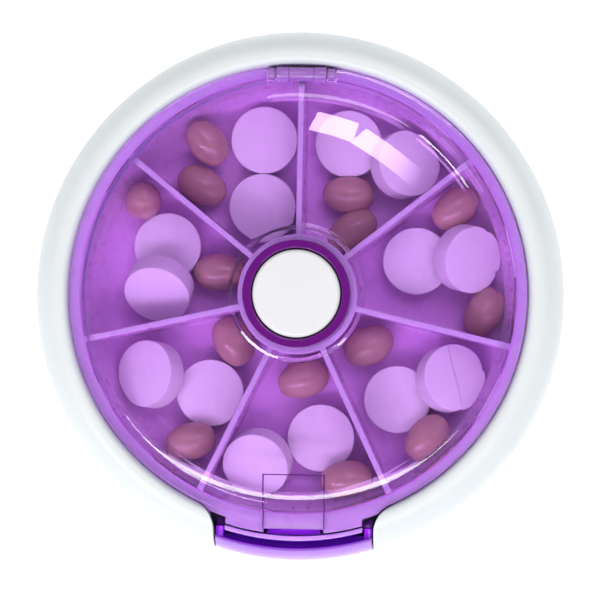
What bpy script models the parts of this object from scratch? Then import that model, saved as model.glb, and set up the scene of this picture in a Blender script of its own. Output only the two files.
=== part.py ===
"""Round travel pill organizer: a flat case for a pocket or a handbag, lying on its back.

A white shell in two halves holds a violet tray with a central hub and seven compartments. A clear
domed lid is hinged at the back, and a small coil spring throws it open. At the front a latch button
fills a notch in the white ring and hooks over the lid's ledge. A white button stands in the hub, in
the lid's central hole: its plunger ends in a slanted peg that draws a link backwards, and the link
draws the latch button off the ledge.

Blender units are metres, and every length below is in millimetres. +Z is up, the hinge is at +Y,
the latch is at -Y, and the origin is the middle of the flat underside.
"""

import math

import bmesh
import bpy
from mathutils import Matrix, Vector

MM = 0.001
TURN_STEPS = 48
SUNK = 0.3

# Case
CASE_R = 45.0
SEAM_Z = 12.2
FLOOR = 1.6
GAP = 0.3
RING_CREST_R = 40.2
RING_CREST_Z = 20.9
RING_INNER_R = 38.9
LEDGE_R = 37.7
LEDGE_Z = (15.3, 16.7)

# Notch in the ring at the front, with flared inner corners
NOTCH_HALF = 13.5
NOTCH_FLARE_R = 5.0
FLARE_X = NOTCH_HALF + NOTCH_FLARE_R
FLARE_Y = -math.sqrt((RING_INNER_R + NOTCH_FLARE_R) ** 2 - FLARE_X**2)

# Tray
COMPARTMENTS = 7
TRAY_FLOOR = (5.9, 7.2)
TRAY_WALL_R = (36.4, 37.4)
TRAY_RIM = (17.0, 18.3)
DIVIDER_THICK = 0.9
DIVIDER_TOP = 19.75
DIVIDER_END_R = 36.35
HUB_R = (9.1, 10.2)
HUB_TOP = 19.8
HUB_FLOOR = (9.0, 10.3)
BOSS_XY = 17.0
BOSS_HOLE_R = 1.25
TRAY_TAB_R = 39.35
TRAY_SHELF_R = (38.8, 40.45)
TRAY_SHELF_Z = (16.95, 18.0)
GUIDE_HOLE_R = 1.05

# Lid
LID_R = RING_INNER_R - GAP
LID_THICK = 1.4
LID_RIM_Z = 20.2
LID_CREST_Z = 24.4
SHOULDER_R = 33.6
SHOULDER_Z = 22.4
DOME_R = 10.2
COLLAR_R = (7.7, 8.8)
COLLAR_Z = 18.0
TAB_R = 40.2
LIP_R = 41.5
LIP_HALF = 11.6
LIP_Z = 19.4
SKIRT_R = 40.75
SKIRT_Z = 14.0
LID_LEDGE_HALF = 4.8
LID_LEDGE_Y = -39.95
CATCH_ROOM_HALF = 5.1
CATCH_ROOM_Y = -39.45
CATCH_ROOM_R = 40.5

# Hinge at the back
PIVOT_Y = 37.1
PIVOT_Z = 20.2
KNUCKLE_R = 1.25
EAR_R = 1.05
COVER_R = (1.0, 1.22)
PIN_R = 0.45
PIN_HOLE_R = 0.6
PIN_HALF = 5.55
PIN_HOLE_HALF = 7.0

# Latch
LATCH_IN_R = 42.75
LATCH_HALF = NOTCH_HALF - GAP
LATCH_Z = (12.6, 19.0)
WEB_TOP = 13.7
UPRIGHT_Y = (-39.65, -38.75)
CATCH_R = 40.5
CATCH_HALF = 4.5
CATCH_Z = (15.3, 16.6)
SPRING_X = 7.6
SPRING_Z = 6.8
LINK_HALF = 4.0
LINK_Z = (4.0, 5.4)
LATCH_PEG_Y = -37.3
LATCH_PEG_R = 1.1
PEG_SLOPE = 0.5
PEG_TOP_Z = 7.5
PEG_HALF = (1.4, 1.1)

# Centre button
BUTTON_R = 7.35
BUTTON_TOP = 25.0
STEM_R = 2.4
STEM_HOLE_R = 2.75
GUIDE_SCREW_R = 7.0
GUIDE_SCREW_ANGLE = 12.0


def clear_scene():
    for thing in list(bpy.data.objects):
        bpy.data.objects.remove(thing, do_unlink=True)


def plastic(name, colour, roughness, metallic=0.0, transmission=0.0):
    material = bpy.data.materials.new(name)
    material.use_nodes = True
    shader = material.node_tree.nodes["Principled BSDF"]
    shader.inputs["Base Color"].default_value = (*colour, 1.0)
    shader.inputs["Roughness"].default_value = roughness
    shader.inputs["Metallic"].default_value = metallic
    shader.inputs["Transmission Weight"].default_value = transmission
    material.diffuse_color = (*colour, 1.0)
    return material


# Outlines


def arc(centre, radii, start, end, count):
    """Points on an ellipse's arc, with angles in degrees."""
    points = []
    for i in range(count + 1):
        angle = math.radians(start + (end - start) * i / count)
        points.append((centre[0] + radii[0] * math.cos(angle), centre[1] + radii[1] * math.sin(angle)))
    return points


def front_arc(radius, half_width, count):
    """Points along the front of a circle about the case's axis, from -X to +X."""
    swing = math.degrees(math.asin(half_width / radius))
    return arc((0, 0), (radius, radius), 270 - swing, 270 + swing, count)


def front_band(inner_r, outer_r, half_width, count=10):
    """A strip that follows the front of the case between two radii."""
    return front_arc(outer_r, half_width, count) + front_arc(inner_r, half_width, count)[::-1]


def mirrored(points):
    """The same points on the other side of the YZ plane, in reverse order."""
    return [(-x, y) for x, y in reversed(points)]


# Solids


def finish(name, shape, material):
    """Turns a bmesh in millimetres into a named object in metres, with its faces pointing out."""
    bmesh.ops.recalc_face_normals(shape, faces=shape.faces)
    bmesh.ops.scale(shape, vec=(MM, MM, MM), verts=shape.verts)
    mesh = bpy.data.meshes.new(name)
    shape.to_mesh(mesh)
    shape.free()
    solid = bpy.data.objects.new(name, mesh)
    bpy.context.scene.collection.objects.link(solid)
    if material:
        mesh.materials.append(material)
    mesh.shade_smooth()
    mesh.set_sharp_from_angle(angle=math.radians(35))
    return solid


def turned(name, outline, material=None, steps=TURN_STEPS):
    """A solid turned about Z from a closed outline of (radius, height)."""
    shape = bmesh.new()
    rings = []
    for radius, height in outline:
        if radius == 0:
            rings.append([shape.verts.new((0, 0, height))] * steps)
            continue
        ring = []
        for i in range(steps):
            angle = 2 * math.pi * i / steps
            ring.append(shape.verts.new((radius * math.cos(angle), radius * math.sin(angle), height)))
        rings.append(ring)
    for lower, upper in zip(rings, rings[1:] + rings[:1]):
        for i in range(steps):
            j = (i + 1) % steps
            corners = list(dict.fromkeys((lower[i], lower[j], upper[j], upper[i])))
            if len(corners) > 2:
                shape.faces.new(corners)
    return finish(name, shape, material)


def prism(name, outline, low, high, axis="Z", material=None):
    """A flat outline pushed along an axis from low to high. Along X the outline holds (y, z)."""
    shape = bmesh.new()
    ends = []
    for level in (low, high):
        if axis == "Z":
            ends.append([shape.verts.new((x, y, level)) for x, y in outline])
        else:
            ends.append([shape.verts.new((level, y, z)) for y, z in outline])
    shape.faces.new(ends[0])
    shape.faces.new(ends[1])
    for i in range(len(outline)):
        j = (i + 1) % len(outline)
        shape.faces.new((ends[0][i], ends[0][j], ends[1][j], ends[1][i]))
    return finish(name, shape, material)


def block(name, x, y, z, material=None):
    """A box from (low, high) pairs."""
    outline = [(x[0], y[0]), (x[1], y[0]), (x[1], y[1]), (x[0], y[1])]
    return prism(name, outline, z[0], z[1], material=material)


def rod(name, radius, start, end, material=None, sides=24):
    """A round bar between two points."""
    start = Vector(start)
    end = Vector(end)
    shape = bmesh.new()
    turn = (end - start).to_track_quat("Z", "Y").to_matrix().to_4x4()
    place = Matrix.Translation((start + end) / 2) @ turn
    bmesh.ops.create_cone(
        shape,
        cap_ends=True,
        segments=sides,
        radius1=radius,
        radius2=radius,
        depth=(end - start).length,
        matrix=place,
    )
    return finish(name, shape, material)


def combine(target, operation, *others):
    """Keeps each other shape as a hidden operand of a Boolean on the target."""
    for other in others:
        modifier = target.modifiers.new(other.name, "BOOLEAN")
        modifier.operation = operation
        modifier.object = other
        other.hide_render = True
        other.display_type = "WIRE"


def wire(name, points, radius, material, resolution=1):
    """A round wire along a list of points."""
    path = bpy.data.curves.new(name, "CURVE")
    path.dimensions = "3D"
    path.bevel_depth = radius * MM
    path.bevel_resolution = resolution
    path.use_fill_caps = True
    spline = path.splines.new("POLY")
    spline.points.add(len(points) - 1)
    for point, place in zip(spline.points, points):
        point.co = (*(Vector(place) * MM), 1.0)
    path.materials.append(material)
    spring = bpy.data.objects.new(name, path)
    bpy.context.scene.collection.objects.link(spring)
    return spring


def coil(radius, length, turns, steps_per_turn=10):
    """Points of a helix about Z that starts at height 0."""
    points = []
    count = int(turns * steps_per_turn)
    for i in range(count + 1):
        angle = 2 * math.pi * i / steps_per_turn
        points.append((radius * math.cos(angle), radius * math.sin(angle), length * i / count))
    return points


def place_on_axis(solid, joint):
    """Moves the origin of a moving piece onto its joint's axis and leaves its shape where it is."""
    shift = Vector(joint) * MM
    solid.data.transform(Matrix.Translation(-shift))
    solid.location = shift


# White shell


def base_shell(material):
    """The lower half, with rests for the link and its springs and bosses for the tray's screws."""
    corner_r = 36.5
    inner_corner_r = 36.3
    tongue = (43.2, 43.9)
    outline = [(0, 0)]
    outline += arc((corner_r, SEAM_Z), (CASE_R - corner_r, SEAM_Z), -90, 0, 7)
    outline += [(tongue[1], SEAM_Z), (tongue[1], SEAM_Z + 1), (tongue[0], SEAM_Z + 1)]
    outline += arc((inner_corner_r, SEAM_Z), (tongue[0] - inner_corner_r, SEAM_Z - FLOOR), 0, -90, 5)
    outline += [(0, FLOOR)]
    shell = turned("base_shell", outline, material)

    combine(shell, "DIFFERENCE", block("base_notch", (-13.9, 13.9), (-50, -30), (SEAM_Z + 0.05, 20)))
    sunk = FLOOR - SUNK
    for side in (-1, 1):
        rail = sorted((side * 4.3, side * 5.3))
        rest = sorted((side * 5.6, side * 9.6))
        combine(
            shell,
            "UNION",
            block(f"base_rail_{side}", rail, (-33, -8), (sunk, 5.0)),
            block(f"base_spring_rest_{side}", rest, (-36.0, -35.0), (sunk, 8.2)),
        )
    pad_top = LINK_Z[0] - GAP
    for number, y in enumerate((-30.0, -10.0, 3.5)):
        pad = block(f"base_link_pad_{number}", (-3.8, 3.8), (y, y + 1.4), (sunk, pad_top))
        combine(shell, "UNION", pad)
    for number, (x, y) in enumerate(boss_places()):
        combine(shell, "UNION", rod(f"base_boss_{number}", 3.5, (x, y, sunk), (x, y, 3.4)))
        combine(
            shell,
            "DIFFERENCE",
            rod(f"base_screw_hole_{number}", 1.4, (x, y, -1), (x, y, 4)),
            rod(f"base_screw_sink_{number}", 2.6, (x, y, -1), (x, y, 1.8)),
        )
    return shell


def boss_places():
    return [(sx * BOSS_XY, sy * BOSS_XY) for sx in (-1, 1) for sy in (-1, 1)]


def guide_screw_places():
    places = []
    for angle in (GUIDE_SCREW_ANGLE, GUIDE_SCREW_ANGLE + 180):
        turn = math.radians(angle)
        places.append((GUIDE_SCREW_R * math.cos(turn), GUIDE_SCREW_R * math.sin(turn)))
    return places


def notch_outline(half_width, flare_r, low_r, high_r):
    """The front notch's outline about the case's axis, from a radius inside it to one outside it."""
    toward_axis = math.degrees(math.atan2(-FLARE_Y, -FLARE_X))
    right = arc((FLARE_X, FLARE_Y), (flare_r, flare_r), toward_axis, 180, 6)
    scale = low_r / math.hypot(*right[0])
    start = (right[0][0] * scale, right[0][1] * scale)
    right = [start, *right, (half_width, -high_r)]
    return right + mirrored(right)


def bezel_ring(material):
    """The upper half: a hollow round-topped ring with a ledge that the tray's rim clamps."""
    seam = SEAM_Z + GAP
    lap_z = seam + 1
    lap_r = 44.2
    wall_r = 40.0
    hollow_r = 43.1
    hollow_top = 18.9
    edge = RING_CREST_R - RING_INNER_R
    outline = arc((RING_CREST_R, seam), (CASE_R - RING_CREST_R, RING_CREST_Z - seam), 0, 90, 8)
    outline += arc((RING_CREST_R, RING_CREST_Z - edge), (edge, edge), 90, 180, 3)[1:]
    outline += [(RING_INNER_R, LEDGE_Z[1]), (LEDGE_R, LEDGE_Z[1])]
    outline += [(LEDGE_R, LEDGE_Z[0]), (wall_r, LEDGE_Z[0])]
    outline += arc((wall_r, lap_z), (hollow_r - wall_r, hollow_top - lap_z), 90, 0, 4)
    outline += [(lap_r, lap_z), (lap_r, seam)]
    ring = turned("bezel_ring", outline, material)
    notch = notch_outline(NOTCH_HALF, NOTCH_FLARE_R, 36.8, 47)
    combine(ring, "DIFFERENCE", prism("ring_notch", notch, 11, 23))
    return ring


# Tray


def tray_outline():
    """The tray's section: floor, bowl-shaped outer wall, rim, and the hub with its raised floor."""
    inner_corner = (31.0, TRAY_RIM[0] + 0.2)
    outer_corner = (31.5, TRAY_RIM[0] - 0.1)
    wall_in, wall_out = TRAY_WALL_R
    rim_low, rim_high = TRAY_RIM
    outline = [(HUB_R[1], TRAY_FLOOR[1])]
    inner_radii = (wall_in - inner_corner[0], inner_corner[1] - TRAY_FLOOR[1])
    outer_radii = (wall_out - outer_corner[0], outer_corner[1] - TRAY_FLOOR[0])
    outline += arc(inner_corner, inner_radii, -90, 0, 6)
    outline += [(wall_in, rim_high - 0.4), (wall_in + 0.4, rim_high), (LID_R - 0.3, rim_high)]
    outline += [(LID_R, rim_high - 0.3), (LID_R, rim_low), (wall_out, rim_low)]
    outline += arc(outer_corner, outer_radii, 0, -90, 6)
    outline += [(HUB_R[0] - 0.2, TRAY_FLOOR[0]), (HUB_R[0] - 0.2, HUB_FLOOR[0])]
    outline += [(STEM_HOLE_R, HUB_FLOOR[0]), (STEM_HOLE_R, HUB_FLOOR[1]), (HUB_R[0], HUB_FLOOR[1])]
    outline += [(HUB_R[0], HUB_TOP - 0.25), (HUB_R[0] + 0.25, HUB_TOP)]
    outline += [(HUB_R[1] - 0.25, HUB_TOP), (HUB_R[1], HUB_TOP - 0.25)]
    return outline


def divider(number):
    """A thin upright wall from the hub to the bowl's wall, with its outer top corner eased off."""
    inner_r = (HUB_R[0] + HUB_R[1]) / 2
    sunk = (TRAY_FLOOR[0] + TRAY_FLOOR[1]) / 2
    corner = (31.25, TRAY_RIM[0])
    wall_middle = sum(TRAY_WALL_R) / 2
    outline = [(inner_r, sunk)]
    outline += arc(corner, (wall_middle - corner[0], corner[1] - sunk), -90, 0, 6)
    outline += [(DIVIDER_END_R, 18.0), (35.7, 18.9), (34.6, 19.55)]
    outline += [(33.6, DIVIDER_TOP), (inner_r, DIVIDER_TOP)]
    half = DIVIDER_THICK / 2
    wall = prism(f"tray_divider_{number}", outline, -half, half, axis="X")
    wall.data.transform(Matrix.Rotation(2 * math.pi * number / COMPARTMENTS, 4, "Z"))
    return wall


def pill_tray(material):
    """The tray with its dividers, screw bosses underneath, hinge ears, and a tab and shelf in the notch."""
    tray = turned("pill_tray", tray_outline(), material)
    for number in range(COMPARTMENTS):
        combine(tray, "UNION", divider(number))
    for number, (x, y) in enumerate(boss_places()):
        combine(tray, "UNION", rod(f"tray_boss_{number}", 2.6, (x, y, 3.7), (x, y, 6.3)))
        hole = rod(f"tray_boss_hole_{number}", BOSS_HOLE_R, (x, y, 3), (x, y, 6.5), sides=12)
        combine(tray, "DIFFERENCE", hole)
    for side in (-1, 1):
        low, high = sorted((side * 4.5, side * 5.7))
        combine(
            tray,
            "UNION",
            block(f"tray_ear_{side}", (low, high), (36.6, 38.1), (17.6, PIVOT_Z)),
            hinge_rod(f"tray_ear_round_{side}", EAR_R, low + 0.02, high - 0.02),
        )
    for number, (x, y) in enumerate(guide_screw_places()):
        hole = rod(f"tray_guide_hole_{number}", GUIDE_HOLE_R, (x, y, 8), (x, y, 11), sides=12)
        combine(tray, "DIFFERENCE", hole)
    pin_hole = hinge_rod("tray_pin_hole", PIN_HOLE_R, -PIN_HOLE_HALF, PIN_HOLE_HALF, sides=16)
    combine(tray, "DIFFERENCE", pin_hole)
    low, high = TRAY_RIM
    tab = prism("tray_tab", tab_outline(TRAY_TAB_R), low + 0.02, high - 0.02)
    combine(tab, "DIFFERENCE", turned("tray_tab_hollow", [(0, 16), (37.0, 16), (37.0, 20), (0, 20)]))
    combine(tray, "UNION", tab)
    shelf = prism("tray_shelf", front_band(*TRAY_SHELF_R, LIP_HALF - 0.1), *TRAY_SHELF_Z)
    combine(shelf, "DIFFERENCE", catch_room("tray_catch_room"))
    combine(tray, "UNION", shelf)
    return tray


def catch_room(name):
    """A cutter that leaves room for the catch and the lid's ledge in the tray's shelf and the lid's lip."""
    plan = [(-CATCH_ROOM_HALF, CATCH_ROOM_Y), *front_arc(CATCH_ROOM_R, CATCH_ROOM_HALF, 6)]
    plan += [(CATCH_ROOM_HALF, CATCH_ROOM_Y)]
    return prism(name, plan, TRAY_SHELF_Z[0] - 0.5, LID_RIM_Z + 0.8)


# Lid


def lid_outline():
    """The lid's section: central collar, low dome, steep shoulder and flat rim."""
    collar_in, collar_out = COLLAR_R
    under_crest = LID_CREST_Z - LID_THICK
    under_shoulder = SHOULDER_Z - LID_THICK
    rim_low = LID_RIM_Z - LID_THICK
    outline = [(collar_in, COLLAR_Z), (collar_in, 23.3), (8.1, 24.0)]
    outline += [(8.9, LID_CREST_Z), (DOME_R, LID_CREST_Z)]
    outline += dome_arc(14, SHOULDER_R, LID_CREST_Z, SHOULDER_Z)
    outline += arc((SHOULDER_R, LID_RIM_Z), (3.0, SHOULDER_Z - LID_RIM_Z), 72, 0, 4)
    outline += [(LID_R - 0.3, LID_RIM_Z), (LID_R, LID_RIM_Z - 0.3), (LID_R, rim_low)]
    outline += arc((33.2, rim_low), (2.8, under_shoulder - rim_low), 0, 90, 4)
    outline += dome_arc(14, 33.2, under_crest, under_shoulder)[-2::-1]
    outline += [(10.4, under_crest - 0.05), (9.3, under_crest - 0.5), (collar_out, under_crest - 1.2)]
    outline += [(collar_out, COLLAR_Z)]
    return outline


def dome_arc(start_r, end_r, crest_z, end_z, count=4):
    """Points on the dome between two radii: its height falls with the square of the radius."""
    points = []
    for i in range(count + 1):
        radius = start_r + (end_r - start_r) * i / count
        fall = ((radius - DOME_R) / (end_r - DOME_R)) ** 2
        points.append((radius, crest_z - (crest_z - end_z) * fall))
    return points


def tab_outline(front_r):
    """A tab in the front notch: flanks along its flares, and a front about the case's axis."""
    flank_r = NOTCH_FLARE_R + GAP
    reach = math.hypot(FLARE_X, FLARE_Y)
    toward_axis = math.degrees(math.atan2(-FLARE_Y, -FLARE_X))
    swing = (reach**2 + flank_r**2 - front_r**2) / (2 * reach * flank_r)
    flank_end = toward_axis + math.degrees(math.acos(swing))
    right = arc((FLARE_X, FLARE_Y), (flank_r, flank_r), toward_axis, flank_end, 5)
    front = front_arc(front_r, right[-1][0], 10)[1:-1]
    inside = [(15.0, -33.6)]
    return inside + right + front[::-1] + mirrored(inside + right)


def lid(material):
    """The clear cover: tab, lip, skirt and ledge in front, hinge arms and a spring cover behind."""
    cover = turned("lid", lid_outline(), material)
    rim_low = LID_RIM_Z - LID_THICK
    tab = prism("lid_tab", tab_outline(TAB_R), rim_low + 0.02, LID_RIM_Z - 0.02)
    hollow = turned("lid_tab_hollow", [(0, 17), (35.9, 17), (35.9, 22), (0, 22)])
    combine(tab, "DIFFERENCE", hollow)
    lip = prism("lid_lip", front_band(39.6, LIP_R, LIP_HALF), rim_low - 0.5, LIP_Z)
    skirt = prism("lid_skirt", front_band(SKIRT_R, LIP_R - 0.02, LIP_HALF - 0.02), SKIRT_Z, LIP_Z - 0.5)
    ledge_plan = [(-LID_LEDGE_HALF, LID_LEDGE_Y), *front_arc(SKIRT_R + 0.15, LID_LEDGE_HALF, 6)]
    ledge_plan += [(LID_LEDGE_HALF, LID_LEDGE_Y)]
    ledge = prism("lid_ledge", ledge_plan, SKIRT_Z + 0.02, SKIRT_Z + 1)
    combine(cover, "UNION", tab, lip, skirt, ledge)
    combine(cover, "DIFFERENCE", catch_room("lid_catch_room"))
    combine(cover, "DIFFERENCE", block("lid_hinge_room", (-6.0, 6.0), (35.7, 42), (15, 24)))
    for side in (-1, 1):
        low, high = sorted((side * 2.1, side * 4.2))
        combine(
            cover,
            "UNION",
            block(f"lid_arm_{side}", (low + 0.02, high - 0.02), (35.0, PIVOT_Y), (19.35, 20.95)),
            hinge_rod(f"lid_knuckle_{side}", KNUCKLE_R, low, high),
        )
    cover_outline = arc((PIVOT_Y, PIVOT_Z), (COVER_R[1], COVER_R[1]), 15, 165, 10)
    cover_outline += arc((PIVOT_Y, PIVOT_Z), (COVER_R[0], COVER_R[0]), 165, 15, 10)
    combine(cover, "UNION", prism("lid_spring_cover", cover_outline, -2.15, 2.15, axis="X"))
    pin_hole = hinge_rod("lid_pin_hole", PIN_HOLE_R, -PIN_HOLE_HALF, PIN_HOLE_HALF, sides=16)
    combine(cover, "DIFFERENCE", pin_hole)
    return cover


def hinge_rod(name, radius, low, high, material=None, sides=24):
    """A round bar on the hinge's axis."""
    return rod(name, radius, (low, PIVOT_Y, PIVOT_Z), (high, PIVOT_Y, PIVOT_Z), material, sides)


def hinge(steel):
    """The pin, and the coil around it whose legs lie under the lid and on the tray's rim."""
    hinge_rod("hinge_pin", PIN_R, -PIN_HALF, PIN_HALF, steel, sides=16)
    length = 2.8
    winding = [(z - length / 2, PIVOT_Y + y, PIVOT_Z - x) for x, y, z in coil(0.72, length, 4.75, 12)]
    lid_leg = [(winding[0][0], 34.6, 18.45), (winding[0][0], 36.2, 18.5)]
    tray_leg = [(winding[-1][0], 36.4, 18.65)]
    wire("lid_spring", lid_leg + winding + tray_leg, 0.13, steel)


# Latch


def latch_button(material):
    """The strip at the front, with cheeks, a floor under the lid's skirt, and the catch behind."""
    low, high = LATCH_Z
    seam = SEAM_Z + GAP
    face = arc((RING_CREST_R, seam), (CASE_R - RING_CREST_R, RING_CREST_Z - seam), 2, 50, 7)
    section = [(LATCH_IN_R, low), *face, (LATCH_IN_R + 0.4, high), (LATCH_IN_R, high - 0.4)]
    strip = turned("latch_button", section, material)
    wedge = prism("latch_width", notch_outline(LATCH_HALF, NOTCH_FLARE_R + GAP, 30, 50), 10, 22)
    combine(strip, "INTERSECT", wedge)

    floor_plate = front_band(39.9, LATCH_IN_R + 0.4, LATCH_HALF - 0.02)
    combine(strip, "UNION", prism("latch_floor", floor_plate, low + 0.02, WEB_TOP))
    for side in (-1, 1):
        cheek = sorted((side * 11.9, side * (LATCH_HALF - 0.04)))
        combine(strip, "UNION", block(f"latch_cheek_{side}", cheek, (-41.6, -39.2), (low + 0.04, 17.6)))
    combine(
        strip,
        "UNION",
        block("latch_upright", (-4.6, 4.6), UPRIGHT_Y, (8.3, CATCH_Z[1])),
        block("latch_bridge", (-4.55, 4.55), (-40.6, UPRIGHT_Y[0] + 0.3), (low + 0.06, WEB_TOP - 0.03)),
        prism("latch_catch", front_band(39.3, CATCH_R, CATCH_HALF, 6), CATCH_Z[0], CATCH_Z[1] - 0.02),
        block("latch_spring_seat", (-9.6, 9.6), (UPRIGHT_Y[0] + 0.02, UPRIGHT_Y[1] - 0.02), (5.77, 8.6)),
        block("latch_foot", (-3.9, 3.9), (UPRIGHT_Y[0] + 0.04, -35.9), (5.75, 6.9)),
        rod("latch_peg", LATCH_PEG_R, (0, LATCH_PEG_Y, 4.1), (0, LATCH_PEG_Y, 6.2), sides=16),
    )
    return strip


def latch_link(material):
    """The flat bar that ties the latch button to the plunger's slanted peg."""
    link = block("latch_link", (-LINK_HALF, LINK_HALF), (-39.5, 5.2), LINK_Z, material)
    combine(
        link,
        "DIFFERENCE",
        rod("link_peg_hole", LATCH_PEG_R + GAP, (0, LATCH_PEG_Y, 3), (0, LATCH_PEG_Y, 7), sides=16),
        slanted_bar("link_window", PEG_HALF[0] + GAP, PEG_HALF[1] + GAP, 3.0, 6.5),
    )
    return link


def slanted_bar(name, half_x, half_y, low, high, material=None):
    """A bar that leans backwards as it rises, and turns the button's travel into the link's."""
    outline = []
    for z, side in ((low, -1), (low, 1), (high, 1), (high, -1)):
        outline.append(((z - PEG_TOP_Z) * PEG_SLOPE + side * half_y, z))
    return prism(name, outline, -half_x, half_x, axis="X", material=material)


def latch_springs(steel):
    start = UPRIGHT_Y[1] + 0.25
    length = -36.25 - start
    for side, name in ((-1, "left"), (1, "right")):
        points = [(side * SPRING_X + x, start + z, SPRING_Z + y) for x, y, z in coil(1.2, length, 3)]
        wire(f"latch_spring_{name}", points, 0.18, steel)


# Centre button


def centre_button(material):
    """A white cap with a deep skirt and a socket for the plunger."""
    skirt_in = 6.3
    skirt_low = 16.0
    ceiling = 22.6
    socket = (2.7, 4.1)
    socket_low = 19.8
    edge = 0.5
    outline = [(0, ceiling), (socket[0], ceiling), (socket[0], socket_low), (socket[1], socket_low)]
    outline += [(socket[1], ceiling), (skirt_in, ceiling), (skirt_in, skirt_low), (BUTTON_R, skirt_low)]
    outline += arc((BUTTON_R - edge, BUTTON_TOP - edge), (edge, edge), 0, 90, 2)
    outline += [(0, BUTTON_TOP)]
    return turned("centre_button", outline, material, steps=36)


def button_plunger(material):
    groove = (7.9, 8.8)
    outline = [(0, PEG_TOP_Z), (STEM_R, PEG_TOP_Z), (STEM_R, groove[0]), (1.9, groove[0])]
    outline += [(1.9, groove[1]), (STEM_R, groove[1]), (STEM_R, 22.2), (0, 22.2)]
    plunger = turned("button_plunger", outline, material, steps=24)
    combine(plunger, "UNION", slanted_bar("plunger_peg", *PEG_HALF, 3.75, PEG_TOP_Z + 0.25))
    return plunger


def retaining_clip(steel):
    """An open ring that stops the plunger under the hub's floor."""
    outline = arc((0, 0), (4.0, 4.0), -60, 240, 20) + arc((0, 0), (2.15, 2.15), 240, -60, 20)
    return prism("retaining_clip", outline, 8.0, 8.6, material=steel)


def button_guide(material):
    """A flanged tube in the hub that keeps the plunger upright."""
    flange_r = 8.4
    flange = (10.6, 11.8)
    tube_r = 4.0
    tube_top = 16.5
    outline = [(STEM_HOLE_R, flange[0]), (flange_r, flange[0]), (flange_r, flange[1])]
    outline += [(tube_r, flange[1]), (tube_r, tube_top), (STEM_HOLE_R, tube_top)]
    guide = turned("button_guide", outline, material, steps=30)
    for number, (x, y) in enumerate(guide_screw_places()):
        hole = rod(f"guide_hole_{number}", GUIDE_HOLE_R, (x, y, 10), (x, y, 13), sides=12)
        combine(guide, "DIFFERENCE", hole)
    return guide


def button_spring(steel):
    points = [(x, y, 12.2 + z) for x, y, z in coil(5.2, 9.9, 4.5, 12)]
    wire("button_spring", points, 0.3, steel)


# Screws


def screw(name, head_r, shank_r, seat, head_thick, length, point_up, x, y, steel):
    """A pan-head screw. Its seat is the plane where head and shank meet."""
    way = 1 if point_up else -1
    outline = [
        (0, seat - way * head_thick),
        (head_r - 0.3, seat - way * head_thick),
        (head_r, seat - way * head_thick * 0.6),
        (head_r, seat),
        (shank_r, seat),
        (shank_r, seat + way * (length - 0.6)),
        (0, seat + way * length),
    ]
    body = turned(name, outline, steel, steps=12)
    slot_low, slot_high = sorted((seat - way * head_thick * 0.5, seat - way * (head_thick + 1)))
    for turn, (half_x, half_y) in enumerate(((0.22, head_r * 0.6), (head_r * 0.6, 0.22))):
        slot = block(f"{name}_slot_{turn}", (-half_x, half_x), (-half_y, half_y), (slot_low, slot_high))
        slot.parent = body
        combine(body, "DIFFERENCE", slot)
    body.location = (x * MM, y * MM, 0)
    return body


def screws(steel):
    for number, (x, y) in enumerate(boss_places(), 1):
        screw(f"tray_screw_{number}", 2.2, 1.0, 1.55, 1.1, 4.6, True, x, y, steel)
    for number, (x, y) in enumerate(guide_screw_places(), 1):
        screw(f"guide_screw_{number}", 1.0, 0.75, 11.95, 0.7, 2.4, False, x, y, steel)


def build():
    clear_scene()
    white = plastic("white_shell", (0.86, 0.89, 0.91), 0.35)
    button_white = plastic("white_button", (0.88, 0.88, 0.89), 0.4)
    grey = plastic("grey_acetal", (0.62, 0.62, 0.64), 0.45)
    violet = plastic("violet_tray", (0.42, 0.16, 0.72), 0.25)
    clear_violet = plastic("clear_violet_lid", (0.55, 0.28, 0.85), 0.05, transmission=0.8)
    latch_violet = plastic("violet_latch", (0.45, 0.18, 0.78), 0.2)
    steel = plastic("spring_steel", (0.62, 0.62, 0.64), 0.3, metallic=1.0)

    base_shell(white)
    bezel_ring(white)
    pill_tray(violet)
    place_on_axis(lid(clear_violet), (0, PIVOT_Y, PIVOT_Z))
    hinge(steel)
    latch_button(latch_violet)
    latch_link(grey)
    latch_springs(steel)
    centre_button(button_white)
    button_plunger(grey)
    retaining_clip(steel)
    button_guide(grey)
    button_spring(steel)
    screws(steel)


build()
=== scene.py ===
"""Visual model of a round travel pill organizer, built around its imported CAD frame.

The white shell, the violet tray, the lid, the latch strip and the button are finer meshes that stand
for their CAD nodes. The lid is a clear cover with an opaque skirt, collar, catch rib and knuckles that
ride along with it. The pin, springs, screws, link, plunger, clip and guide are the CAD nodes with better
materials. Tablets and softgels lie in the compartments as loose contents.

Lengths in this script are in millimetres until a mesh is finished, and +Z is up.
"""

import math

import bmesh
import bpy
from mathutils import Matrix, Vector


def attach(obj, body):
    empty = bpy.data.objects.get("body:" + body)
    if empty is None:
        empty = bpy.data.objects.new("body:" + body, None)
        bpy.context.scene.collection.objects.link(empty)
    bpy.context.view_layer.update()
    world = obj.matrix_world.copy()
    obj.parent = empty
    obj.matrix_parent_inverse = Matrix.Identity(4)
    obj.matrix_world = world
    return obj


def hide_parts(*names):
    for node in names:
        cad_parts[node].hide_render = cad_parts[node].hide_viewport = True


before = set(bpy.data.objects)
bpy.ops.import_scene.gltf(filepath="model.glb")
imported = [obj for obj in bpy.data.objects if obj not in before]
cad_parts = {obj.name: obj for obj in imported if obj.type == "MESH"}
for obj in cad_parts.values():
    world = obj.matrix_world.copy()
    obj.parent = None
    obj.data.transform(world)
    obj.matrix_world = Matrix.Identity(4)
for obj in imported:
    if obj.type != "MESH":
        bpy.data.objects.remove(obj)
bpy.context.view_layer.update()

MM = 0.001
STEPS = 160

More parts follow.
